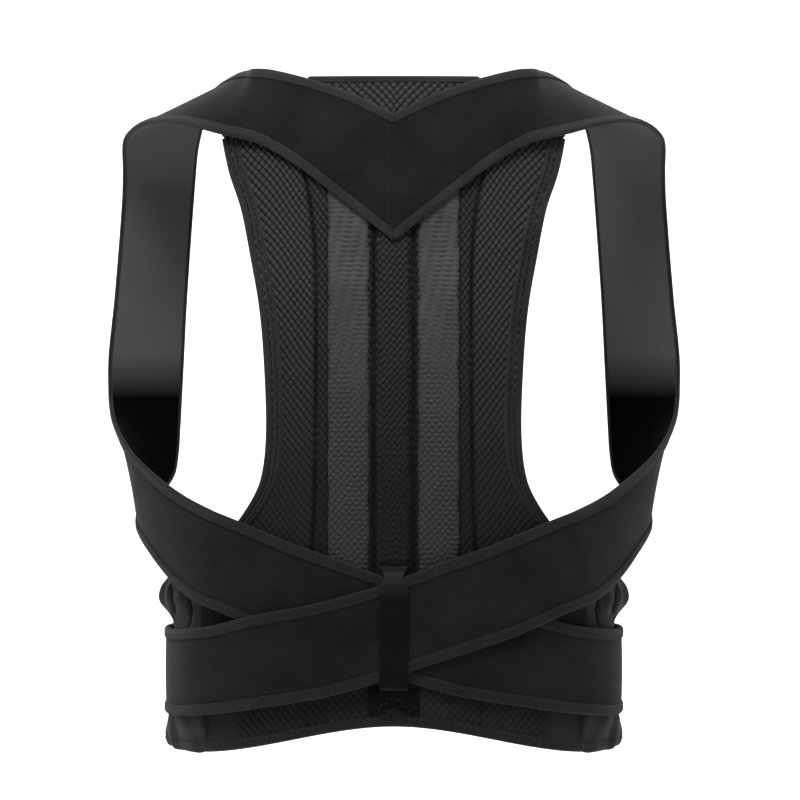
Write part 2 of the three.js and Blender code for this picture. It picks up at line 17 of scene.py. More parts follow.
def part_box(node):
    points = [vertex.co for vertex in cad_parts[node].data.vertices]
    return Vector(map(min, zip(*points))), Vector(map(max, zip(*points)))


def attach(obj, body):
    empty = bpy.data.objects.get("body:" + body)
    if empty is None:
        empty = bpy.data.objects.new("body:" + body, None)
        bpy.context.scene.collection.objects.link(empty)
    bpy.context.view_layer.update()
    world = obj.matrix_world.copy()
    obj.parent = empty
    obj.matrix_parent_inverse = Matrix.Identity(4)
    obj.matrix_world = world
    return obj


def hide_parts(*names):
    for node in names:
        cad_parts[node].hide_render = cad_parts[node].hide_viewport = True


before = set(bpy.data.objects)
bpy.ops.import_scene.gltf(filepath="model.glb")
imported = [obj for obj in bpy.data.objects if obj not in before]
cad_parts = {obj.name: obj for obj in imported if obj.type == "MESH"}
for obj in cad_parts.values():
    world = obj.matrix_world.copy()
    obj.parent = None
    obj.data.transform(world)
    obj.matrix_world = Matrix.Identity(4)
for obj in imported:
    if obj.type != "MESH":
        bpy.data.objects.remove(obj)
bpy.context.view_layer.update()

# %% [markdown]
# The camera stands level with the middle of the back. A short lens from close by would make the near
# side of the body too large, so it stands far away with a long lens, which keeps true proportions.

# %% Camera
CAMERA_AWAY = 2.6   # metres from the brace
SEEN_WIDTH = 0.528  # metres that the picture spans at the brace


def new_object(name, data):
    """An object in the scene that shows the given data."""
    thing = bpy.data.objects.new(name, data)
    bpy.context.scene.collection.objects.link(thing)
    return thing


camera = new_object("camera", bpy.data.cameras.new("camera"))
camera.location = (0.004, -CAMERA_AWAY, -0.2013)
camera.rotation_euler = (math.radians(90), 0, 0)
camera.data.sensor_width = 36
camera.data.lens = camera.data.sensor_width * CAMERA_AWAY / SEEN_WIDTH
camera.data.clip_end = 30
bpy.context.scene.camera = camera
print("lens:", round(camera.data.lens, 1), "mm")

# %% [markdown]
# The brace hangs as it is worn, over pale paper that lies flat and curves up into a wall behind it. A
# plain bright sky alone would leave the black cloth without any form, so two soft lights stand on the
# camera's side and one hangs above. One more lights the wall, and a weak one shows the front of the
# brace in other views.

# %% Floor, lights and sky
PAPER_BEND = 0.9        # radius of the curve up into the wall
PAPER_HALF_WIDTH = 4.5
PAPER_DROP = 0.62       # below the shoulder line
SKY_STRENGTH = 0.10
LIGHTS = (              # name, place, aim, size and watts
    ("key", (-0.18, -0.72, 0.55), (0, -0.1, -0.1), (0.5, 0.35), 3.3),
    ("fill", (0.9, -1.5, 0.1), (0, 0, -0.2), (1.0, 1.2), 0.9),
    ("top", (0, 0.05, 1.1), (0, 0, -0.2), (0.9, 0.5), 1.6),
    ("wall light", (0, 1.7, 1.7), (0, 3.4, 0.2), (3.4, 0.6), 150),
    ("front", (-0.8, 1.7, 0.5), (0, 0, -0.2), (0.9, 0.9), 3.0),
)


def make_floor():
    """Paper in the shape of one line, extruded from side to side."""
    sweep = bmesh.new()
    turns = np.linspace(0, math.pi / 2, 13)
    profile = [(-3.4, 0.0)]
    profile += [(2.7 + PAPER_BEND * math.sin(a), PAPER_BEND - PAPER_BEND * math.cos(a)) for a in turns]
    profile += [(3.6, 3.6)]
    line = [sweep.verts.new((-PAPER_HALF_WIDTH, y, z - PAPER_DROP)) for y, z in profile]
    edges = [sweep.edges.new(pair) for pair in zip(line, line[1:])]
    moved = bmesh.ops.extrude_edge_only(sweep, edges=edges)["geom"]
    far = [v for v in moved if isinstance(v, bmesh.types.BMVert)]
    bmesh.ops.translate(sweep, vec=(2 * PAPER_HALF_WIDTH, 0, 0), verts=far)
    for face in sweep.faces:
        face.smooth = True
    shape = bpy.data.meshes.new("floor")
    sweep.to_mesh(shape)
    floor = new_object("floor", shape)
    paper = bpy.data.materials.new("floor paper")
    paper.use_nodes = True
    shader = paper.node_tree.nodes["Principled BSDF"]
    shader.inputs["Base Color"].default_value = (0.82, 0.82, 0.82, 1)
    shader.inputs["Roughness"].default_value = 0.8
    floor.data.materials.append(paper)


def soft_light(name, place, aim, size, power):
    """A rectangle of light that faces its aim."""
    light = bpy.data.lights.new(name, "AREA")
    light.shape = "RECTANGLE"
    light.size, light.size_y = size
    light.energy = power
    lamp = new_object(name, light)
    lamp.location = place
    lamp.rotation_euler = (Vector(aim) - Vector(place)).to_track_quat("-Z", "Y").to_euler()


make_floor()
for light in LIGHTS:
    soft_light(*light)
sky = bpy.data.worlds.new("sky")
sky.use_nodes = True
sky.node_tree.nodes["Background"].inputs["Color"].default_value = (1, 1, 1, 1)
sky.node_tree.nodes["Background"].inputs["Strength"].default_value = SKY_STRENGTH
bpy.context.scene.world = sky
bpy.context.scene.view_settings.view_transform = "Standard"
print("lights:", [light[0] for light in LIGHTS])

# %% [markdown]
# Every finish is cloth, and they share three effects. One is a weave: threads that cross, taken from
# the piece's own UV map, which is laid out in metres so that a thread keeps its size on every piece.
# One is a slow cloudiness with fine fuzz on top, as on any cloth that has been worn. The last is the
# net of the spacer mesh. A picture of cloth could give all three, but it would blur from close by, so
# they are node groups, built once.

# %% Shared effects
NET_SPACING = 0.0052        # between the rows of the net
NET_LEAN = 0.93             # how far the rows lean
NET_FURROWS = (0.92, 0.75)  # depth of the furrows that lean one way and the other
NET_SWAY = (0.0006, 2 * math.pi / 0.047, 0.0008, 2 * math.pi / 0.038)  # reach and pace, across and down


def new_group(name, values, results):
    """An empty node group that takes a place and some values, with its input and output nodes."""
    group = bpy.data.node_groups.new(name, "ShaderNodeTree")
    group.interface.new_socket("Place", in_out="INPUT", socket_type="NodeSocketVector")
    for label, value in values.items():
        socket = group.interface.new_socket(label, in_out="INPUT", socket_type="NodeSocketFloat")
        socket.default_value = value
    for label in results:
        group.interface.new_socket(label, in_out="OUTPUT", socket_type="NodeSocketFloat")
    return group, group.nodes.new("NodeGroupInput"), group.nodes.new("NodeGroupOutput")


class Nodes:
    """Adds nodes to a tree and joins them."""

    def __init__(self, tree):
        self.tree = tree

    def add(self, kind, settings=(), **sockets):
        node = self.tree.nodes.new("ShaderNode" + kind)
        for key, value in dict(settings).items():
            setattr(node, key, value)
        for key, value in sockets.items():
            place = int(key[1:]) if key[1:].isdigit() else key.replace("_", " ")
            self.feed(value, node.inputs[place])
        return node

    def feed(self, value, socket):
        if isinstance(value, bpy.types.NodeSocket):
            self.tree.links.new(value, socket)
        else:
            socket.default_value = value

    def maths(self, operation, a, b=0.0, c=0.0):
        return self.add("Math", {"operation": operation}, i0=a, i1=b, i2=c).outputs[0]

    def mix(self, share, a, b):
        node = self.add("Mix", {"data_type": "RGBA"}, Factor=share)
        self.feed(a, node.inputs[6])
        self.feed(b, node.inputs[7])
        return node.outputs[2]

    def span(self, value, low, high, to_low, to_high):
        return self.add("MapRange", i0=value, i1=low, i2=high, i3=to_low, i4=to_high).outputs[0]


def weave_group():
    """Threads that cross: height and a mask of the gaps, from a place in metres."""
    values = {"Across pitch": 0.001, "Along pitch": 0.001, "Slant": 0.0, "Cross": 1.0}
    group, given, result = new_group("thread weave", values, ("Height", "Gap"))
    n = Nodes(group)
    place = n.add("SeparateXYZ", Vector=given.outputs["Place"])
    slanted = n.maths("MULTIPLY_ADD", place.outputs["Y"], given.outputs["Slant"], place.outputs["X"])
    warp = n.maths("DIVIDE", slanted, given.outputs["Across pitch"])
    weft = n.maths("DIVIDE", place.outputs["Y"], given.outputs["Along pitch"])
    waves = [n.maths("SINE", n.maths("MULTIPLY", v, 2 * math.pi)) for v in (warp, weft)]
    crossed = n.maths("MULTIPLY_ADD", n.maths("SUBTRACT", waves[0], 1.0), given.outputs["Cross"], 1.0)
    product = n.maths("MULTIPLY", waves[1], crossed)
    height = n.span(product, -1.0, 1.0, 0.0, 1.0)
    gap = n.span(product, -1.0, -0.2, 1.0, 0.0)
    group.links.new(height, result.inputs["Height"])
    group.links.new(gap, result.inputs["Gap"])
    return group


def fuzz_group():
    """Cloudiness and fine fuzz: a slow mask and a fine height."""
    values = {"Cloud size": 0.03, "Fuzz size": 0.0008}
    group, given, result = new_group("cloud and fuzz", values, ("Cloud", "Fuzz"))
    n = Nodes(group)
    for label, size, detail in (("Cloud", "Cloud size", 3.0), ("Fuzz", "Fuzz size", 2.0)):
        scale = n.maths("DIVIDE", 1.0, given.outputs[size])
        noise = n.add("TexNoise", Vector=given.outputs["Place"], Scale=scale, Detail=detail)
        group.links.new(noise.outputs["Fac"], result.inputs[label])
    return group


def net_group():
    """Spacer mesh: raised bumps in diagonal rows, with furrows both ways between them."""
    values = {"Spacing": NET_SPACING, "Ribs": 0.0}
    group, given, result = new_group("spacer net", values, ("Height", "Hole"))
    n = Nodes(group)
    place = n.add("SeparateXYZ", Vector=given.outputs["Place"])

    def sway(way, reach, pace):
        return n.maths("MULTIPLY", n.maths("SINE", n.maths("MULTIPLY", place.outputs[way], pace)), reach)

    side, drop = sway("Y", *NET_SWAY[:2]), sway("X", *NET_SWAY[2:])
    turn = n.maths("DIVIDE", 2 * math.pi, given.outputs["Spacing"])
    x = n.maths("MULTIPLY", n.maths("ADD", place.outputs["X"], side), turn)
    y = n.maths("MULTIPLY", n.maths("ADD", place.outputs["Y"], drop), turn)
    lean = n.maths("MULTIPLY", y, NET_LEAN)
    weak = n.maths("MULTIPLY_ADD", given.outputs["Ribs"], 0.45, -NET_FURROWS[1])
    rows = []
    one_way, other_way = n.maths("ADD", x, lean), n.maths("SUBTRACT", x, lean)
    for turned, depth in ((one_way, -NET_FURROWS[0]), (other_way, weak)):
        furrow = n.maths("MULTIPLY_ADD", n.maths("COSINE", turned), -0.5, 0.5)
        rows.append(n.maths("MULTIPLY_ADD", n.maths("POWER", furrow, 2.0), depth, 1.0))
    height = n.maths("MULTIPLY", rows[0], rows[1])
    group.links.new(height, result.inputs["Height"])
    group.links.new(n.span(height, 0.3, 0.0, 0.0, 1.0), result.inputs["Hole"])
    return group


WEAVE = weave_group()
FUZZ = fuzz_group()
NET = net_group()
print("groups:", [group.name for group in (WEAVE, FUZZ, NET)])

# %% [markdown]
# All of the brace is black or dark grey, so its pieces differ by small steps of tone, by the coarseness
# of their threads and by a faint sheen. One colour per piece would look like moulded rubber. Each
# finish therefore runs between two close greys, and painted shade makes its tone darker in the gaps,
# at pressed seams and lower down, where less light falls between the layers.

# %% Cloth finishes
NEARLY_BLACK = (0.002, 0.002, 0.0022, 1)
# Painted shade in the net's holes and in the seams that its mask marks.
HOLE_AND_SEAM_SHADE = (0.0015, 0.0015, 0.0018, 1)


def new_finish(name):
    """A material with its node helper, its shader, and its places on the object and on the cloth."""
    finish = bpy.data.materials.new(name)
    finish.use_nodes = True
    n = Nodes(finish.node_tree)
    shader = finish.node_tree.nodes["Principled BSDF"]
    return finish, n, shader, n.add("TexCoord"), n.add("UVMap", {"uv_map": "cloth"})


def shade(colour, share=1.0):
    """A colour made lighter or darker by a share, with the fourth value that sockets want."""
    return (*[c * share for c in colour], 1)


def cloth_finish(name, colour, light, pitch=(0.001, 0.001), weave_depth=0.0002, slant=0.0, fuzz=0.0008,
                 fuzz_depth=0.0001, sheen=0.3, gap_shade=0.5, cross=1.0):
    """Cloth whose colour runs between colour and light in clouds, with painted shade in the gaps of its
    weave.
    """
    finish, n, shader, place, uv = new_finish(name)
    weave = n.add("Group", {"node_tree": WEAVE}, Place=uv.outputs["UV"], Slant=slant, Cross=cross,
                  Across_pitch=pitch[0], Along_pitch=pitch[1])
    cloud = n.add("Group", {"node_tree": FUZZ}, Place=place.outputs["Object"], Fuzz_size=fuzz)
    share = n.span(cloud.outputs["Cloud"], 0.3, 0.7, 0.0, 1.0)
    tone = n.mix(share, shade(colour), shade(light))
    # Painted shade in the gaps of the weave.
    dark = n.mix(n.maths("MULTIPLY", weave.outputs["Gap"], gap_shade), tone, shade(colour, 0.25))
    n.feed(dark, shader.inputs["Base Color"])
    rough = n.span(cloud.outputs["Fuzz"], 0.3, 0.7, 0.84, 0.96)
    n.feed(rough, shader.inputs["Roughness"])
    low = n.add("Bump", Height=weave.outputs["Height"], Distance=weave_depth)
    high = n.add("Bump", Height=cloud.outputs["Fuzz"], Distance=fuzz_depth, Normal=low.outputs["Normal"])
    n.feed(high.outputs["Normal"], shader.inputs["Normal"])
    shader.inputs["Sheen Weight"].default_value = sheen
    shader.inputs["Sheen Roughness"].default_value = 0.6
    shader.inputs["Specular IOR Level"].default_value = 0.25
    return finish


def grey(level):
    """Linear colour of a neutral cloth from its level out of 255, slightly cool."""
    value = (level / 255 + 0.055) / 1.055
    return (value ** 2.4 * 0.98, value ** 2.4, value ** 2.4 * 1.04)


def net_finish(name, colour, light, low_shade, spacing=NET_SPACING):
    """Spacer mesh, more ribbed towards the hem and darker there as painted shade, with painted shade in its
    holes and seams.
    """
    finish, n, shader, place, uv = new_finish(name)
    height = n.add("SeparateXYZ", Vector=place.outputs["Object"])
    low = n.span(height.outputs["Z"], -0.13, -0.26, 0.0, 1.0)
    cloud = n.add("Group", {"node_tree": FUZZ}, Place=place.outputs["Object"], Cloud_size=0.05)
    cloudy = n.span(cloud.outputs["Cloud"], 0.35, 0.65, 0.0, 1.0)
    ribs = n.maths("MULTIPLY", n.span(height.outputs["Z"], -0.05, -0.3, 0.35, 1.0), cloudy)
    net = n.add("Group", {"node_tree": NET}, Place=uv.outputs["UV"], Ribs=ribs, Spacing=spacing)
    tone = n.mix(net.outputs["Height"], shade(colour), shade(light))
    plain = n.add("Attribute", {"attribute_name": "plain"})
    # Painted shade: the net goes darker and flatter towards the hem, where less light falls.
    tone = n.mix(n.maths("MULTIPLY", low, low_shade), tone, shade(colour, 1.3))
    # Painted light: the plain cloth beside the crossing is made lighter below the straps.
    below = n.span(height.outputs["Z"], -0.36, -0.40, 0.0, 1.0)
    cloth = n.mix(below, shade(colour, 1.3), shade(colour, 3.0))
    tone = n.mix(plain.outputs["Fac"], tone, cloth)
    # Painted shade: nearly black in the net's holes, in grooves and sewn edges, beside the strips and above
    # the loop.
    seam = n.add("Attribute", {"attribute_name": "seam"})
    open_share = n.span(low, 0.0, 1.0, 0.55, 0.15)
    open_net = n.maths("MULTIPLY", n.maths("SUBTRACT", 1.0, plain.outputs["Fac"]), open_share)
    dark = n.maths("MAXIMUM", n.maths("MULTIPLY", net.outputs["Hole"], open_net), seam.outputs["Fac"])
    tone = n.mix(dark, tone, HOLE_AND_SEAM_SHADE)
    n.feed(tone, shader.inputs["Base Color"])
    rough = n.span(cloud.outputs["Fuzz"], 0.3, 0.7, 0.72, 0.88)
    n.feed(rough, shader.inputs["Roughness"])
    bump = n.add("Bump", Height=net.outputs["Height"], Distance=0.0004,
                 Strength=n.maths("SUBTRACT", 1.0, plain.outputs["Fac"]))
    fine = n.add("Bump", Height=cloud.outputs["Fuzz"], Distance=0.00015, Normal=bump.outputs["Normal"])
    n.feed(fine.outputs["Normal"], shader.inputs["Normal"])
    shader.inputs["Sheen Weight"].default_value = 0.15
    shader.inputs["Specular IOR Level"].default_value = 0.3
    return finish


def base_colour(finish):
    """The base colour's socket and what feeds it, with the tree's helper."""
    base = finish.node_tree.nodes["Principled BSDF"].inputs["Base Color"]
    return Nodes(finish.node_tree), base, base.links[0].from_socket


def darken_down(finish, high, low, share):
    """Lets a finish go darker between two heights."""
    n, base, before = base_colour(finish)
    height = n.add("SeparateXYZ", Vector=n.add("TexCoord").outputs["Object"])
    fade = n.span(height.outputs["Z"], high, low, 0.0, share)
    n.feed(n.mix(fade, before, NEARLY_BLACK), base)


def paint_crease_shade(finish):
    """Paints shade: lets a finish go nearly black where the seam mask marks sewn valleys, sewn edges and
    pressed folds.
    """
    n, base, before = base_colour(finish)
    seam = n.add("Attribute", {"attribute_name": "seam"})
    n.feed(n.mix(seam.outputs["Fac"], before, NEARLY_BLACK), base)


def lattice_low(finish, high, low, light, dark, spacing):
    """Lets a knit turn from ribs into a lattice of light loops between two heights."""
    n, base, before = base_colour(finish)
    uv = n.add("UVMap", {"uv_map": "cloth"})
    net = n.add("Group", {"node_tree": NET}, Place=uv.outputs["UV"], Spacing=spacing)
    height = n.add("SeparateXYZ", Vector=n.add("TexCoord").outputs["Object"])
    lattice = n.mix(net.outputs["Height"], shade(dark), shade(light))
    n.feed(n.mix(n.span(height.outputs["Z"], high, low, 0.0, 0.85), before, lattice), base)


STRAP_FELT = cloth_finish("strap felt", grey(25), grey(42), pitch=(0.0009, 0.0009), weave_depth=0.00003,
                          gap_shade=0.1, fuzz=0.0022, fuzz_depth=0.0003, sheen=0.2)
STRAP_LINING = cloth_finish("strap lining", grey(128), grey(134), pitch=(0.0012, 0.0012),
                            weave_depth=0.00008, gap_shade=0.2, sheen=0.03)
# Painted shade: the straps' inner side goes black lower down.
darken_down(STRAP_LINING, -0.170, -0.200, 1.0)
STRAP_LINING.node_tree.nodes["Principled BSDF"].inputs["Specular IOR Level"].default_value = 0.05
TAPE = cloth_finish("edge tape", grey(52), grey(70), pitch=(0.0018, 0.0013), slant=0.6, fuzz=0.0015,
                    fuzz_depth=0.0003)
# Painted shade: the tapes go darker lower down, where less light falls.
darken_down(TAPE, -0.14, -0.30, 0.45)
paint_crease_shade(TAPE)
MESH_KNIT = net_finish("mesh knit", grey(34), grey(97), 0.8)
CHANNEL_KNIT = net_finish("channel knit", grey(29), grey(82), 0.8, 0.0042)
STAY_KNIT = cloth_finish("stay knit", grey(100), grey(122), pitch=(0.0070, 0.0031), weave_depth=0.0006,
                         slant=0.25, gap_shade=0.55, fuzz=0.0014, fuzz_depth=0.0004, cross=0.45)
lattice_low(STAY_KNIT, -0.13, -0.22, grey(120), grey(66), 0.0044)
# Painted shade: the stay covers go darker lower down, where less light falls.
darken_down(STAY_KNIT, -0.05, -0.36, 0.5)
paint_crease_shade(STAY_KNIT)
BELT_CLOTH = cloth_finish("belt cloth", grey(47), grey(64), pitch=(0.0014, 0.0014), weave_depth=0.0001,
                          gap_shade=0.25, fuzz=0.0016, fuzz_depth=0.0003)
paint_crease_shade(BELT_CLOTH)
WEBBING = cloth_finish("loop webbing", grey(54), grey(70), pitch=(0.0021, 0.0015), weave_depth=0.0004,
                       gap_shade=0.7, fuzz=0.0016, fuzz_depth=0.0004, sheen=0.1)
darken_down(WEBBING, -0.316, -0.326, 0.93)
HOOKS = cloth_finish("hook tape", grey(34), grey(46), pitch=(0.0016, 0.0016), weave_depth=0.0005,
                     gap_shade=0.6)
THREAD = cloth_finish("sewing thread", grey(62), grey(78), pitch=(0.0006, 0.0006), weave_depth=0.0001)
LINING = cloth_finish("panel lining", grey(38), grey(46), pitch=(0.0022, 0.0022), gap_shade=0.6)
print("materials so far:", len(bpy.data.materials))

# %% [markdown]
# All the cloth lies on one imagined torso, a rounded box whose half width and half depth change down
# the back. A Shrinkwrap modifier could lay cloth on the solids, but it would copy their facets. The
# same few rows of numbers as in the solids give the torso's surface at any height, as finely as needed.

# %% Torso form
TORSO = np.array([  # share of the back's drop, half width, half depth
    (-0.06, 0.1485, 0.07004), (0.06, 0.16005, 0.08858), (0.25, 0.165, 0.10094), (0.49, 0.1584, 0.103),
    (0.73, 0.14484, 0.09785), (0.86, 0.142, 0.095), (1.08, 0.142, 0.09595),
])
BACK_DROP = 0.408
SQUARENESS = 2.4


def through(stations, values, at):
    """Smooth values at places between stations: a cubic whose slopes come from the neighbours."""
    stations, at = np.asarray(stations), np.asarray(at, dtype=float)
    values = np.asarray(values, dtype=float)
    slopes = np.empty_like(values)
    gap = (stations[2:] - stations[:-2]).reshape(-1, *[1] * (values.ndim - 1))
    slopes[1:-1] = (values[2:] - values[:-2]) / gap
    slopes[0] = (values[1] - values[0]) / (stations[1] - stations[0])
    slopes[-1] = (values[-1] - values[-2]) / (stations[-1] - stations[-2])
    k = np.clip(np.searchsorted(stations, at, side="right") - 1, 0, len(stations) - 2)
    span = stations[k + 1] - stations[k]
    t = np.clip((at - stations[k]) / span, 0, 1)
    wide = (...,) + (None,) * (values.ndim - 1)
    span, t = span[wide], t[wide]
    rise = values[k + 1] - values[k]
    bend = (1 - t) * (slopes[k] * span - rise) + t * (rise - slopes[k + 1] * span)
    return values[k] + rise * t + t * (1 - t) * bend


def back_points(x, z, out):
    """Points of the back at x and z, on the layer that lies out beyond the torso."""
    half_width = through(TORSO[:, 0], TORSO[:, 1], -z / BACK_DROP) + out
    half_depth = through(TORSO[:, 0], TORSO[:, 2], -z / BACK_DROP) + out
    level = np.clip(1 - np.abs(x / half_width) ** SQUARENESS, 0, 1)
    return np.stack([x, -half_depth * level ** (1 / SQUARENESS), z], axis=-1)


def smooth(low, high, t):
    """Share from 0 at low to 1 at high, level at both ends."""
    s = np.clip((t - low) / (high - low), 0, 1)
    return s * s * (3 - 2 * s)


print("back at the waist stands at y =", back_points(np.array(0.0), np.array(-0.35), 0.0)[1].round(3))

# %% [markdown]
# A piece of cloth starts as a flat grid, and each of its points is then put where the cloth lies.
# Dropping the cloth in a simulation would also do, but the brace has to keep the form that the solids
# have. The grid's UV map holds the place on the cloth in metres, across and along. A Solidify
# modifier gives the wall, and the other side may have a finish of its own.

# %% Cloth from a grid
def grid_cells(grid, rows, columns):
    """Row and column of each point of a fresh grid, which is one metre wide and high."""
    cells = {}
    for v in grid.verts:
        cells[v] = (round((v.co.y + 0.5) * (rows - 1)), round((v.co.x + 0.5) * (columns - 1)))
    return cells


def cloth_piece(name, points, along, across, finishes, facing, wall=None, offset=0.0, seam=None,
                plain=None):
    """A cloth grid: points (rows, columns, 3), places along and across in metres, and facing, a
    direction its first side should look in."""
    rows, columns = points.shape[:2]
    cloth = bmesh.new()
    place = cloth.loops.layers.uv.new("cloth")
    masks = [(cloth.verts.layers.float.new(word), mask)
             for word, mask in (("seam", seam), ("plain", plain)) if mask is not None]
    bmesh.ops.create_grid(cloth, x_segments=columns - 1, y_segments=rows - 1, size=0.5)
    cells = grid_cells(cloth, rows, columns)
    for v, cell in cells.items():
        v.co = points[cell]
        for layer, mask in masks:
            v[layer] = float(mask[cell])
    for face in cloth.faces:
        face.smooth = True
        for loop in face.loops:
            cell = cells[loop.vert]
            loop[place].uv = (across[cell], along[cell])
    cloth.normal_update()
    centre = Vector(points[rows // 2, columns // 2])
    middle = min(cloth.faces, key=lambda f: (f.calc_center_median() - centre).length)
    if middle.normal.dot(Vector(facing)) < 0:
        bmesh.ops.reverse_faces(cloth, faces=cloth.faces)
    return finish_piece(name, cloth, finishes, wall, offset)


def finish_piece(name, shape, finishes, wall=None, offset=0.0):
    """Makes a bmesh an object of the brace, with its finishes and its wall."""
    mesh = bpy.data.meshes.new(name)
    shape.to_mesh(mesh)
    shape.free()
    piece = new_object(name, mesh)
    for finish in finishes:
        mesh.materials.append(finish)
    if wall:
        solid = piece.modifiers.new("wall", "SOLIDIFY")
        solid.thickness = wall
        solid.offset = offset
        solid.use_even_offset = False
        solid.material_offset = len(finishes) - 1
    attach(piece, "root")
    return piece


def lengths(points, axis):
    """Distance run along a grid of points, from 0 at its first row or column."""
    steps = np.linalg.norm(np.diff(points, axis=axis), axis=-1)
    start = np.zeros_like(np.take(steps, [0], axis=axis))
    return np.concatenate([start, np.cumsum(steps, axis=axis)], axis=axis)


def unit(vectors):
    """Vectors at length 1."""
    return vectors / np.maximum(np.linalg.norm(vectors, axis=-1, keepdims=True), 1e-12)


def grid_normals(points, facing):
    """Unit normals of a grid, all on the side that its first point's facing picks."""
    normals = unit(np.cross(np.gradient(points, axis=0), np.gradient(points, axis=1)))
    return normals if np.dot(normals[0, 0], facing) > 0 else -normals


# %% [markdown]
# The straps, wings and loop turn round the body in ways that no short formula gives, so their paths
# are read from the solids' own corners. Each solid is a wall built in rings, and starting from one
# end and stepping along its edges meets ring after ring.

# %% Rings of a wall
def wall_rings(node, is_first):
    """Rings of corner points of a CAD wall, from the ring of the corners that is_first picks."""
    wall = bmesh.new()
    wall.from_mesh(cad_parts[node].data)
    bmesh.ops.remove_doubles(wall, verts=wall.verts, dist=2e-6)
    ring = {v for v in wall.verts if is_first(v.co)}
    seen, rings = set(ring), []
    while ring:
        rings.append(np.array([v.co[:] for v in ring]))
        ring = {e.other_vert(v) for v in ring for e in v.link_edges} - seen
        seen |= ring
    wall.free()
    assert len({len(r) for r in rings}) == 1, (node, [len(r) for r in rings])
    return rings


def strap_middle(node):
    """Middle surface of a strap's wall, ring by ring from the seam at the yoke."""
    rings = wall_rings(node, lambda p: abs(p.x) < 0.0004 and p.z > -0.14)
    middle, across = [], np.array([0.0, 0.0, 1.0])
    for ring in rings:
        spread = ring - ring.mean(axis=0)
        axis = np.linalg.svd(spread)[2][0]
        across = axis if axis @ across > 0 else -axis
        pairs = ring[np.argsort(spread @ across)].reshape(-1, 2, 3)
        middle.append(pairs.mean(axis=1))
    return np.array(middle)


def between_rows(values, steps):
    """Smooth values between the rows of a grid, at steps counted in rows."""
    return through(np.arange(len(values)), values, steps)


def resample(points, rows, at_rows, columns, at_columns):
    """A finer grid through a coarse one, at places between its rows and columns."""
    fine = through(rows, points, at_rows)
    return np.swapaxes(through(columns, np.swapaxes(fine, 0, 1), at_columns), 0, 1)


SIDES = ("left", "right")
strap_middles = {word: strap_middle(f"strap_{word}") for word in SIDES}
for word, middle in strap_middles.items():
    print("strap", word, "rings:", len(middle), "length:", lengths(middle[:, 2:3], 0)[-1, 0].round(3))

# %% [markdown]
# Each strap is one long band of felted loop cloth with a soft grey inner side. It starts at the seam
# in the middle of the back, and the tapes round its edges are pulled a little tight. A flat ribbon
# would look like card, so the cloth swells half a millimetre between them.

# %% Straps
STRAP_WALL = 0.0018
STRAP_SWELL = 0.0005
STRAP_COLUMNS = 25
STRAP_STEP = 0.004
TAPE_WIDTH = 0.006
STATIONS = np.array([0, 6 / 55, 0.5, 49 / 55, 1])  # shares of the width where the solids have points
straps, strap_grids = {}, {}
for word in SIDES:
    middle = strap_middles[word]
    run = lengths(middle[:, 2:3], 0)[:, 0]
    at_rows = np.linspace(0, run[-1], round(run[-1] / STRAP_STEP))
    grid = resample(middle, run, at_rows, STATIONS, np.linspace(0, 1, STRAP_COLUMNS))
    normals = grid_normals(grid, (0, -1, 0))
    share = np.linspace(0, 1, STRAP_COLUMNS)[None, :, None]
    strap_grids[word] = (grid, normals)
    cloth = grid + normals * STRAP_SWELL * np.sin(np.pi * np.clip((share - 0.1) / 0.8, 0, 1))
    straps[word] = cloth_piece(
        f"strap_cloth_{word}", cloth, lengths(grid, 0), lengths(grid, 1),
        [STRAP_FELT, STRAP_LINING], normals[len(grid) // 2, STRAP_COLUMNS // 2], STRAP_WALL,
    )
    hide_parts(f"strap_{word}")
    print("strap", word, "grid:", cloth.shape[:2])

# %% [markdown]
# The two straps meet at the seam in the middle of the back, and a narrow strip covers it. A box would
# have hard corners, so it is a band of seven lines whose outer ones lie lower.

# %% Strip over the yoke's seam
SEAM_ASIDE = 0.0012  # the seam lies a little to the left of the middle
seam_line = strap_grids["left"][0][0, 2:-2]
seam_line = between_rows(seam_line, np.linspace(0, len(seam_line) - 1, 70))
half_widths = np.array([-1, -0.9, -0.45, 0, 0.45, 0.9, 1]) * 0.0023
rise = np.array([0.0009, 0.0015, 0.0017, 0.0016, 0.0017, 0.0015, 0.0009])
strip = np.stack([seam_line + [w - SEAM_ASIDE, -r, 0.0] for w, r in zip(half_widths, rise)], axis=1)
placket = cloth_piece("yoke_strip", strip, lengths(strip, 0), lengths(strip, 1), [STRAP_FELT],
                      (0, -1, 0), 0.0005, -1)
print("strip over the seam:", strip.shape[:2])

# %% [markdown]
# A folded tape wraps every edge: a flattened tube whose two lips lie on the cloth. A bevelled curve
# would make a round cord, so a profile of points is carried along the edge. A row of stitches runs
# near the lips and pulls the tape in a little at every stitch.

# %% Folded tapes
TAPE_PROFILE = [  # inwards from the cloth's edge, and off its middle, as shares of width and half depth
    (1.00, 0.55), (0.97, 0.84), (0.86, 0.93), (0.72, 0.84), (0.55, 0.98), (0.25, 1.00), (0.02, 0.86),
    (-0.13, 0.45), (-0.17, 0.0), (-0.13, -0.45), (0.00, -0.68), (0.12, -0.70), (0.22, -0.62),
    (0.25, -0.50),
]
SIDE_TAPE = (0.0105, 0.0028)  # width and half depth
TOP_TAPE = (0.0045, 0.0023)
HEM_TAPE = (0.0056, 0.0027)
SIDE_PROFILE = [  # the panel's wide side tape: three ridges with sewn valleys between them
    (1.00, 0.45), (0.98, 0.85), (0.90, 1.05), (0.82, 0.95), (0.77, 0.50), (0.71, 0.46), (0.66, 0.86),
    (0.58, 0.96), (0.50, 0.80), (0.45, 0.50), (0.37, 0.55), (0.32, 0.80), (0.18, 0.92), (0.04, 0.80),
    (-0.08, 0.62), (-0.10, 0.0), (-0.08, -0.45), (0.05, -0.70), (0.40, -0.75), (0.90, -0.70),
    (0.97, -0.50),
]
STITCH_PITCH = 0.0036
STITCH_HALF = (0.0002, 0.0012, 0.0002)  # across, along and up
STITCH_PULL = 0.03


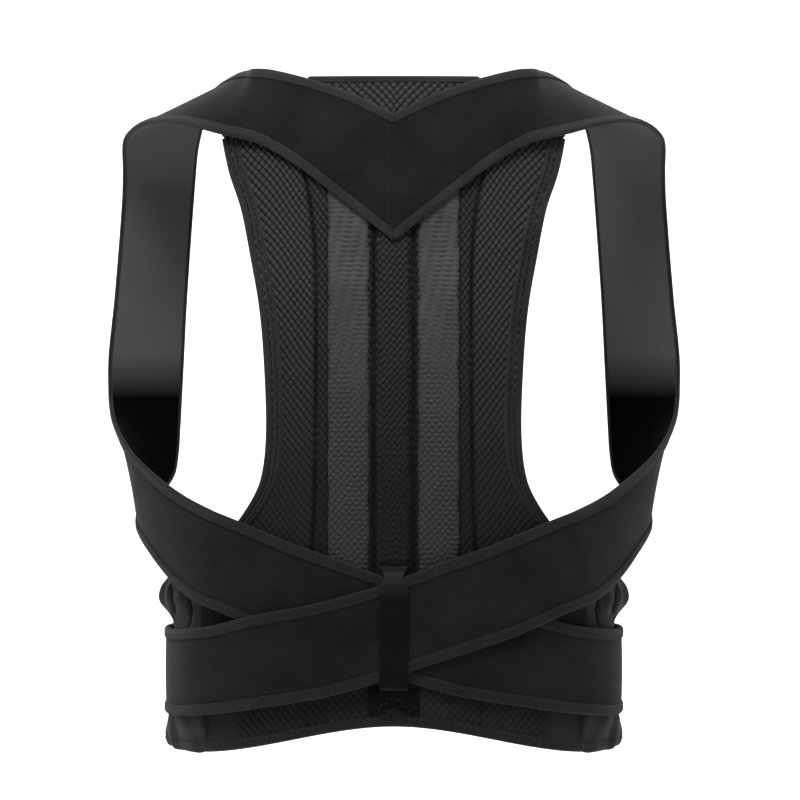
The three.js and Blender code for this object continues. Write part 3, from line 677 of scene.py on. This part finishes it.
def tape_piece(name, edge, inward, normal, width, half_depth, profile=TAPE_PROFILE, finish=TAPE):
    """A folded tape along a line of edge points; inward and normal are unit directions per point."""
    run = lengths(edge[:, None], 0)[:, 0]
    pull = 1 - STITCH_PULL * np.cos(2 * np.pi * run / STITCH_PITCH)[:, None]
    sides = []
    for a, n in profile:
        tight = np.where((0.5 < a < 0.98) & (n > 0), pull, 1.0)
        sides.append(edge + inward * (a * width) + normal * (n * half_depth * tight))
    points = np.stack(sides, axis=1)
    closed = np.concatenate([points, points[:, :1]], axis=1)
    # Painted shade in the valleys between the tape's ridges and at its lip on the cloth.
    dark = [0.75 if a > 0 and 0 < n < 0.6 else 0.0 for a, n in profile]  # in the valleys
    return cloth_tube(name, closed, run, finish, [*dark, dark[0]])


def cloth_tube(name, points, run, finish, dark):
    """A closed band with filled ends, from a grid whose last column repeats its first. The finish
    takes painted shade by a share per column."""
    rows, columns = points.shape[:2]
    tube = bmesh.new()
    place = tube.loops.layers.uv.new("cloth")
    mark = tube.verts.layers.float.new("seam")
    bmesh.ops.create_grid(tube, x_segments=columns - 1, y_segments=rows - 1, size=0.5)
    around = lengths(points, 1)
    cells = grid_cells(tube, rows, columns)
    for v, cell in cells.items():
        v.co = points[cell]
        v[mark] = dark[cell[1]]
    for face in tube.faces:
        face.smooth = True
        for loop in face.loops:
            cell = cells[loop.vert]
            loop[place].uv = (around[cell], run[cell[0]])
    bmesh.ops.remove_doubles(tube, verts=tube.verts, dist=1e-7)
    bmesh.ops.holes_fill(tube, edges=tube.edges, sides=columns)
    bmesh.ops.recalc_face_normals(tube, faces=tube.faces)
    return finish_piece(name, tube, [finish])


def stitch_row(name, points, normal):
    """A row of short raised stitches along a line of points on cloth."""
    run = lengths(points[:, None], 0)[:, 0]
    row = bmesh.new()
    for at in np.arange(STITCH_PITCH / 2, run[-1], STITCH_PITCH):
        here, ahead = through(run, points, [at - 0.0002, at + 0.0002])
        up = Vector(through(run, normal, [at])[0]).normalized()
        ahead = Vector(ahead - here).normalized()
        side = up.cross(ahead).normalized()
        turn = Matrix((side, ahead, up)).transposed().to_4x4()
        seat = Matrix.Translation(here) @ turn @ Matrix.Diagonal((*STITCH_HALF, 1))
        bmesh.ops.create_icosphere(row, subdivisions=1, radius=1, matrix=seat)
    for face in row.faces:
        face.smooth = True
    row.loops.layers.uv.new("cloth")
    return finish_piece(name, row, [THREAD])


strap_trim = {"left": [placket], "right": []}
for word in SIDES:
    grid, normals = strap_grids[word]
    fine = np.linspace(0, len(grid) - 1, 3 * len(grid))
    grid, normals = between_rows(grid, fine), between_rows(normals, fine)
    for edge_name, column, inner in (("arm", 0, 2), ("neck", -1, -3)):
        edge, normal = grid[:, column], normals[:, column]
        inward = unit(grid[:, inner] - edge)
        tape = tape_piece(f"strap_tape_{edge_name}_{word}", edge, inward, normal, TAPE_WIDTH, 0.002)
        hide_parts(f"strap_binding_{edge_name}_{word}")
        sewn_line = edge + inward * 0.0044 + normal * 0.0019
        sewn = stitch_row(f"strap_stitches_{edge_name}_{word}", sewn_line, normal)
        strap_trim[word] += [tape, sewn]
    centre_line = grid[:, STRAP_COLUMNS // 2]
    run = float(lengths(centre_line[:, None], 0)[-1, 0])
    print("strap", word, "cut length", round(run, 3))

# %% [markdown]
# The panel is an hourglass: wide at the shoulders and at the belt, narrow between. Its outline could be
# read from the solid, but the net on it needs a place for every point, so each point is given by its
# share of the panel's height and of the half width there.

# %% Panel outline
EDGE = np.array([  # share of the panel's height, half width in metres
    (0.00, 0.110), (0.07, 0.10406), (0.13, 0.09614), (0.21, 0.08976), (0.28, 0.0848), (0.35, 0.082),
    (0.46, 0.080), (0.52, 0.08088), (0.56, 0.0836), (0.585, 0.087544), (0.62, 0.0961),
    (0.655, 0.107012), (0.69, 0.11904), (0.74, 0.124), (1.00, 0.12028),
])
TOP_HALF, HEM_HALF = 0.110, 0.124
TOP_LEVEL_HALF = 0.054  # the top edge is level this far out, and then falls away


def top_edge(x):
    """Height of the top edge at a distance from the centre line."""
    past = np.clip((np.abs(x) - TOP_LEVEL_HALF) / (TOP_HALF - TOP_LEVEL_HALF), 0, 1)
    return 0.006 - 0.034 * np.sin(np.pi / 2 * past)


def hem_edge(x):
    """Height of the hem, which is lower at the sides."""
    return -BACK_DROP - 0.020 * smooth(0, 1.15 * HEM_HALF, np.abs(x))


def panel_place(share, down):
    """x and z on the panel, from a share of its half width and a share of its height."""
    x = share * through(EDGE[:, 0], EDGE[:, 1], down)
    top = top_edge(np.abs(share) * TOP_HALF)
    return x, top + (hem_edge(np.abs(share) * HEM_HALF) - top) * down


print("panel at its narrowest:", (2 * EDGE[:, 1].min()).round(3), "m wide")

# %% [markdown]
# The panel's cloth is spacer mesh: two knitted faces held apart by fine threads. Its outer face is a net
# of raised bumps in diagonal rows, with furrows both ways between them. Bump shading alone would leave
# it smooth against the light, so the net is real relief on a fine grid, and the finish paints shade into
# the furrows. It is pressed flat where it is sewn: in two grooves and beside the raised strips, and
# painted shade darkens it there too.

# %% Mesh panel
PANEL_STAND = 0.0026   # the mesh stands this far off the torso
NET_DEPTH = 0.0009
GROOVE_DEPTH = 0.0016
PANEL_GRID = (400, 231)
SEAM_OUT = np.array([  # height, distance of the sewn groove from the centre line
    (-0.430, 0.0560), (-0.330, 0.0550), (-0.300, 0.0525), (-0.260, 0.0505), (-0.140, 0.0495),
    (-0.102, 0.0505), (-0.075, 0.0535), (-0.055, 0.0575), (0.010, 0.0700),
])


def net_relief(across, along):
    """Height of the net, near 0 in a furrow and 1 on a bump, at places in metres."""
    across = np.abs(across)
    x = (across + NET_SWAY[0] * np.sin(along * NET_SWAY[1])) * 2 * np.pi / NET_SPACING
    y = (along + NET_SWAY[2] * np.sin(across * NET_SWAY[3])) * 2 * np.pi / NET_SPACING
    lean = y * NET_LEAN
    deep, weak = [(0.5 - 0.5 * np.cos(turned)) ** 2 for turned in (x + lean, x - lean)]
    return (1 - NET_FURROWS[0] * deep) * (1 - NET_FURROWS[1] * weak)


def groove(x, z):
    """Depth of the sewn grooves, and of the seams beside the raised strips, 1 at the deepest; also the mask
    of painted shade there.
    """
    out = np.abs(x)
    sewn_at = through(SEAM_OUT[:, 0], SEAM_OUT[:, 1], z)
    sewn = np.exp(-((out - sewn_at) / 0.0014) ** 2) + 0.3 * smooth(0.040, 0.043, out) * (out < sewn_at)
    beside = np.exp(-((out - 0.0126) / 0.0026) ** 2) + 0.6 * np.exp(-((out - 0.0423) / 0.0011) ** 2)
    below_yoke = 1 - smooth(-0.05, -0.03, z)
    above_belt = smooth(-0.385, -0.37, z)
    pressed = np.maximum(sewn * (0.35 + 0.65 * above_belt), beside * below_yoke * above_belt)
    return np.clip(pressed, 0, 1)


def panel_grid(rows, columns, inset, reach):
    """x and z of a grid over the panel that stops a little short of its edges."""
    return panel_place(*np.meshgrid(np.linspace(-reach, reach, columns), np.linspace(inset, 1 - inset, rows)))


def make_panel():
    """The net as real relief, flatter towards the belt and plain beside the crossing."""
    x, z = panel_grid(*PANEL_GRID, 0.004, 0.997)
    flat = back_points(x, z, PANEL_STAND)
    across = lengths(flat, 1)
    across = across - across[:, [PANEL_GRID[1] // 2]]
    normals = grid_normals(flat, (0, -1, 0))
    plain = smooth(-0.285, -0.30, z) * smooth(0.094, 0.104, np.abs(x))
    flatter = np.maximum(plain, 0.55 * smooth(-0.15, -0.27, z))
    relief = net_relief(across, -z) * (1 - flatter) + 0.6 * flatter
    swell = 0.0004 * np.sin(z / 0.016) * np.sin(x / 0.011)
    points = flat + normals * (NET_DEPTH * relief + swell - GROOVE_DEPTH * groove(x, z))[..., None]
    # The seam mask paints shade into the grooves and beside the raised strips.
    return cloth_piece("panel_mesh", points, -z, np.abs(across), [MESH_KNIT], (0, -1, 0),
                       seam=0.97 * groove(x, z), plain=plain)


panel = make_panel()
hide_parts("back_panel")

x, z = panel_grid(60, 41, 0.003, 0.99)
inside = back_points(x, z, 0.0008)
backing = cloth_piece("panel_lining", inside, -z, x, [LINING], (0, 1, 0), 0.0006)
print("panel faces:", len(panel.data.polygons), "lining faces:", len(backing.data.polygons))

# %% [markdown]
# Down the middle run three raised strips: a narrow mesh channel and, beside it, two ribbed covers
# that hold flexible stays. Each is sewn down along both edges and swells between them. Straight edges
# would look cut from sheet metal, so they waver by a few hundredths of the width, as sewn knit does.

# %% Raised strips
STRIP_GRID = (520, 25)
STRIP_STAND = 0.0036   # the strips' foot stands this far off the torso
LOOP_SHADOW = -0.3058  # height of the thin shadow above the crossing loop
COVER_WIDTH = 0.0254
COVER_PLACE = 0.0286   # middle of a stay cover, to both sides of the centre line
CHANNEL_WIDTH = 0.019
RIB_DEPTH = 0.0006


def strip_piece(name, centre, width, height, finish, ribs, end):
    """A raised strip down the panel, from behind the straps' seam to a share of its height."""
    rows, columns = STRIP_GRID
    down, t = np.meshgrid(np.linspace(0.105, end, rows), np.linspace(-1, 1, columns), indexing="ij")
    edge = through(EDGE[:, 0], EDGE[:, 1], down)
    waver = 1 + 0.03 * np.sin(down * 61 + 3 * t) + 0.02 * np.sin(down * 173 - 2 * t)
    x = centre + t * width / 2 * waver
    _, z = panel_place(x / edge, down)
    dome = np.clip(1 - np.abs(t) ** 6, 0, 1)
    wander = 0.0007 * np.sin(t * 2.6 + z / 0.021) + 0.0004 * np.sin(t * 5.1 - z / 0.013)
    rib = 0.5 + 0.5 * np.cos(2 * np.pi * (z + wander) / ribs)
    points = back_points(x, z, STRIP_STAND + dome * height + dome * RIB_DEPTH * rib)
    # Painted shade at the sewn edges, and a painted shadow on the channel above the crossing loop.
    shadow = np.exp(-((z - LOOP_SHADOW) / 0.0017) ** 2) * (np.abs(x) < 0.012)
    dark = 0.5 * smooth(0.86, 1.0, np.abs(t)) + 0.95 * shadow
    return cloth_piece(name, points, -z, x, [finish], (0, -1, 0), 0.0005, -1, dark)


for word, centre in zip(SIDES, (-COVER_PLACE, COVER_PLACE)):
    cover = strip_piece(f"stay_cover_knit_{word}", centre, COVER_WIDTH, 0.0011, STAY_KNIT, 0.0031, 0.90)
    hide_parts(f"stay_cover_{word}")
channel = strip_piece("centre_channel_mesh", 0.0, CHANNEL_WIDTH, 0.0008, CHANNEL_KNIT, 0.0042, 0.988)
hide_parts("centre_channel")
print("faces of the channel:", len(channel.data.polygons))

# %% [markdown]
# A small patch with two sewn arches closes the foot of the channel. It could be part of the channel's
# own grid, but it is a separate piece of webbing, so it gets a grid and stitches of its own.

# %% Patch at the foot of the channel
PATCH_HALF, PATCH_TOP, PATCH_DROP = 0.0168, -0.384, 0.0180


def make_patch():
    """The patch, with its arches raised and one of them stitched."""
    t, v = np.meshgrid(np.linspace(-1, 1, 41), np.linspace(0, 1, 25))
    x, z = PATCH_HALF * t, PATCH_TOP - PATCH_DROP * v
    rim = np.clip(1 - np.abs(t) ** 8, 0, 1) * np.clip(1 - np.abs(2 * v - 1) ** 8, 0, 1)
    arch = np.hypot(t, 1.1 * (v - 1.0))
    ridge = np.exp(-((arch - 0.82) / 0.07) ** 2) + np.exp(-((arch - 0.42) / 0.07) ** 2)
    points = back_points(x, z, STRIP_STAND + 0.0010 * rim + 0.0006 * ridge)
    patch = cloth_piece("channel_patch", points, -z, x, [WEBBING], (0, -1, 0), 0.0007, -1)
    turn = np.linspace(0.15, math.pi - 0.15, 60)
    arc_x = 0.62 * PATCH_HALF * np.cos(turn)
    arc_z = PATCH_TOP - PATCH_DROP + 0.62 * PATCH_DROP * np.sin(turn) / 1.1
    arc = back_points(arc_x, arc_z, 0.0050)
    sewn = stitch_row("channel_patch_stitches", arc, np.tile([0.0, -1.0, 0.0], (len(arc), 1)))
    print("patch stitches:", len(sewn.data.polygons) // 20)


make_patch()

# %% [markdown]
# The panel's edges are bound too: wide tapes on the hourglass sides, narrow ones along the top and
# the hem. The way is the same as for the straps' tapes, along lines of the panel's own outline.

# %% Panel tapes
def panel_line(shares, downs):
    """A line on the middle of the panel's wall."""
    x, z = panel_place(shares, downs)
    return back_points(x, z, 0.0016)


def panel_tape(name, edge, inside, size, node, profile=TAPE_PROFILE):
    """A tape along an edge line of the panel; inside is the same line a little further in."""
    width, half_depth = size
    inward = unit(inside - edge)
    normal = unit(np.cross(np.gradient(edge, axis=0), inward))
    if normal[len(normal) // 2] @ np.array([0, -1, 0]) < 0:
        normal = -normal
    tape = tape_piece(name, edge, inward, normal, width, half_depth, profile)
    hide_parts(node)
    sewn_line = edge + inward * width * 0.75 + normal * half_depth * 0.97
    stitch_row(name + "_stitches", sewn_line, normal)
    print(name, "faces:", len(tape.data.polygons))


seam_down = (-0.311 + 0.028) / (hem_edge(HEM_HALF) + 0.028)
for word, side in zip(SIDES, (-1, 1)):
    downs = np.linspace(0.016, float(seam_down), 700)
    panel_tape(f"panel_tape_{word}", panel_line(side, downs), panel_line(side * 0.94, downs),
               SIDE_TAPE, f"panel_binding_{word}", SIDE_PROFILE)
shares = np.linspace(-1, 1, 560)
panel_tape("panel_tape_top", panel_line(shares, 0.002), panel_line(shares, 0.02), TOP_TAPE,
           "panel_binding_top")
panel_tape("panel_tape_hem", panel_line(shares, 1.0), panel_line(shares, 0.98), HEM_TAPE,
           "panel_binding_hem")

# %% [markdown]
# The belt's wings are padded and gathered. A cloth simulation would find its own folds, but not the
# ones that show here, so their walls are taken from the solids and refined, and folds are pressed
# in where the cloth comes out between the straps and puffs at the lower corners.

# %% Belt wings
WING_GRID = (300, 96)
TUCK = 0.0028            # the wing runs on this far under the panel
FRONT_HEM_RISE = 0.008


def wing_middle(word):
    """Middle surface of a wing's wall, ring by ring from the end at the panel."""
    side = -1 if word == "left" else 1
    far = min(side * v.co.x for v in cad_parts[f"belt_wing_{word}"].data.vertices if v.co.y > 0)
    rings = wall_rings(f"belt_wing_{word}", lambda p: p.y > 0 and side * p.x < far + 0.004)
    down = [ring[np.argsort(-ring[:, 2], kind="stable")] for ring in rings[::-1]]
    return np.array([ring.reshape(-1, 2, 3).mean(axis=1) for ring in down])


def wing_relief(points):
    """Folds pressed between the straps, gathers at the side, and a puckered puff at the lower
    corner, with a mask for painted shade in the pressed folds."""
    along, down = lengths(points, 0), lengths(points, 1)
    x, y, height = np.abs(points[..., 0]), points[..., 1], points[..., 2]
    between = smooth(-0.352, -0.342, height) * (1 - smooth(-0.318, -0.313, height))
    side = smooth(-0.045, -0.015, y) * (1 - smooth(0.03, 0.07, y))
    band = between * smooth(0.112, 0.125, x) * (1 - smooth(-0.045, -0.015, y))
    valleys = np.zeros_like(x)
    for place, width in ((0.1315, 0.0011), (0.1435, 0.0011), (0.1200, 0.0016)):
        lean = place + 0.0012 * np.sin((height + 0.33) / 0.006)
        valleys += np.exp(-((x - lean) / width) ** 2)
    corner = smooth(-0.392, -0.408, height) * smooth(0.09, 0.125, x) * (1 - smooth(0.03, 0.06, y))
    rays = np.sin(along / 0.0042 + 150 * down) * 0.6 + 0.4 * np.sin(along / 0.0067 - 110 * down)
    crumple = band * np.sin(height / 0.0021 + 60 * x) * np.sin(along / 0.0040)
    puff = smooth(-0.400, -0.408, height) * (1 - smooth(-0.412, -0.426, height)) * smooth(0.10, 0.13, x)
    gathers = np.sin(along / 0.0024 + 1.5 * np.sin(height / 0.009)) * 0.6 + 0.4 * np.sin(along / 0.0041)
    relief = 0.0034 * puff + 0.0012 * corner * rays - 0.0036 * band * valleys + 0.0005 * crumple
    relief += 0.0009 * between * side * gathers
    return relief, band * np.minimum(valleys, 1)


def make_wing(word):
    """A padded wing, tucked under the panel, with its front hem a little raised."""
    middle = wing_middle(word)
    tuck = middle[0] - TUCK * unit(middle[1] - middle[0]) + np.array([0, 0.0008, 0])
    middle = np.concatenate([tuck[None], middle])
    front = smooth(0.04, 0.07, middle[..., 1]) * (1 - smooth(0.03, 0.10, np.abs(middle[..., 0])))
    middle[..., 2] += FRONT_HEM_RISE * front * np.linspace(0, 1, middle.shape[1]) ** 2
    rows = lengths(middle[:, 5:6], 0)[:, 0]
    columns = lengths(middle[14:15], 1)[0]
    at_rows = np.linspace(0, rows[-1], WING_GRID[0])
    at_columns = np.linspace(0, columns[-1], WING_GRID[1])
    fine = resample(middle, rows, at_rows, columns, at_columns)
    normals = grid_normals(fine, (0, -1, 0))
    relief, pressed = wing_relief(fine)
    fine = fine + normals * relief[..., None]
    normals = grid_normals(fine, (0, -1, 0))
    # The seam mask paints shade into the pressed folds.
    wing = cloth_piece(f"belt_wing_cloth_{word}", fine, lengths(fine, 0), lengths(fine, 1), [BELT_CLOTH],
                       normals[WING_GRID[0] // 2, WING_GRID[1] // 2], 0.003, seam=0.9 * pressed ** 1.5)
    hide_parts(f"belt_wing_{word}")
    print("wing", word, "faces:", len(wing.data.polygons))
    return fine, normals


for word in SIDES:
    fine, normals = make_wing(word)
    steps = np.linspace(0, len(fine) - 20, 900)
    edge = between_rows(fine[:, -1], steps)
    inward = unit(between_rows(fine[:, -4], steps) - edge)
    normal = between_rows(normals[:, -1], steps)
    tape = tape_piece(f"belt_tape_{word}", edge, inward, normal, TAPE_WIDTH, 0.0025, finish=BELT_CLOTH)
    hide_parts(f"belt_binding_{word}")

# %% [markdown]
# A short loop of webbing holds the two straps where they cross. Its upper end flares into a small
# tab that is sewn to the panel. A curve with a bevel could make a loop, but not the flare, so it is
# read from the solid as the straps are.

# %% Crossing loop
LOOP_TOP_DROP = 0.0038  # the loop's top lies this much lower than the solid's


def make_loop():
    """The loop's band, refined, with its upper end a little lower."""
    top = max(v.co.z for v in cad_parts["crossing_loop"].data.vertices)
    rings = wall_rings("crossing_loop", lambda p: p.z > top - 0.0015)
    across = [ring[np.argsort(ring[:, 0], kind="stable")] for ring in rings]
    middle = np.array([ring.reshape(-1, 2, 3).mean(axis=1) for ring in across])
    middle[..., 2] -= LOOP_TOP_DROP * smooth(top - 0.022, top - 0.008, middle[..., 2])
    run = lengths(middle[:, 1:2], 0)[:, 0]
    fine = resample(middle, run, np.linspace(0, run[-1], 90), [0, 0.5, 1], np.linspace(0, 1, 13))
    loop = cloth_piece("crossing_loop_webbing", fine, lengths(fine, 0), lengths(fine, 1), [WEBBING],
                       (0, -1, 0), 0.0013)
    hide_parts("crossing_loop")
    print("loop length:", run[-1].round(3))


make_loop()

# %% [markdown]
# Hook tabs close the straps and the belt at the front, where a person wearing the brace can reach
# them. They are strips of stiff tape with a rough face. Fields of real hooks would be far too many
# faces, so each tab is one bent strip, and its finish gives the rough face.

# %% Hook tabs
FOOT_RISE = {"strap_tab_left": 0.0, "strap_tab_right": 0.0, "closure_tab": 0.009}


def tab_piece(node):
    """A tab as one strip on the parabola that best fits its solid."""
    low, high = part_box(node)
    corners = np.array([v.co[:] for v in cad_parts[node].data.vertices])
    foot = low.z + FOOT_RISE[node]
    fit = np.polyfit(corners[:, 0], corners[:, 1], 2)
    x, z = np.meshgrid(np.linspace(low.x, high.x, 33), np.linspace(high.z, foot, 33))
    points = np.stack([x, np.polyval(fit, x), z], axis=-1)
    tab = cloth_piece(node + "_hooks", points, -z, x, [HOOKS], (0, 1, 0), 0.001)
    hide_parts(node)
    print(node, "width:", round(high.x - low.x, 3))


for node in FOOT_RISE:
    tab_piece(node)
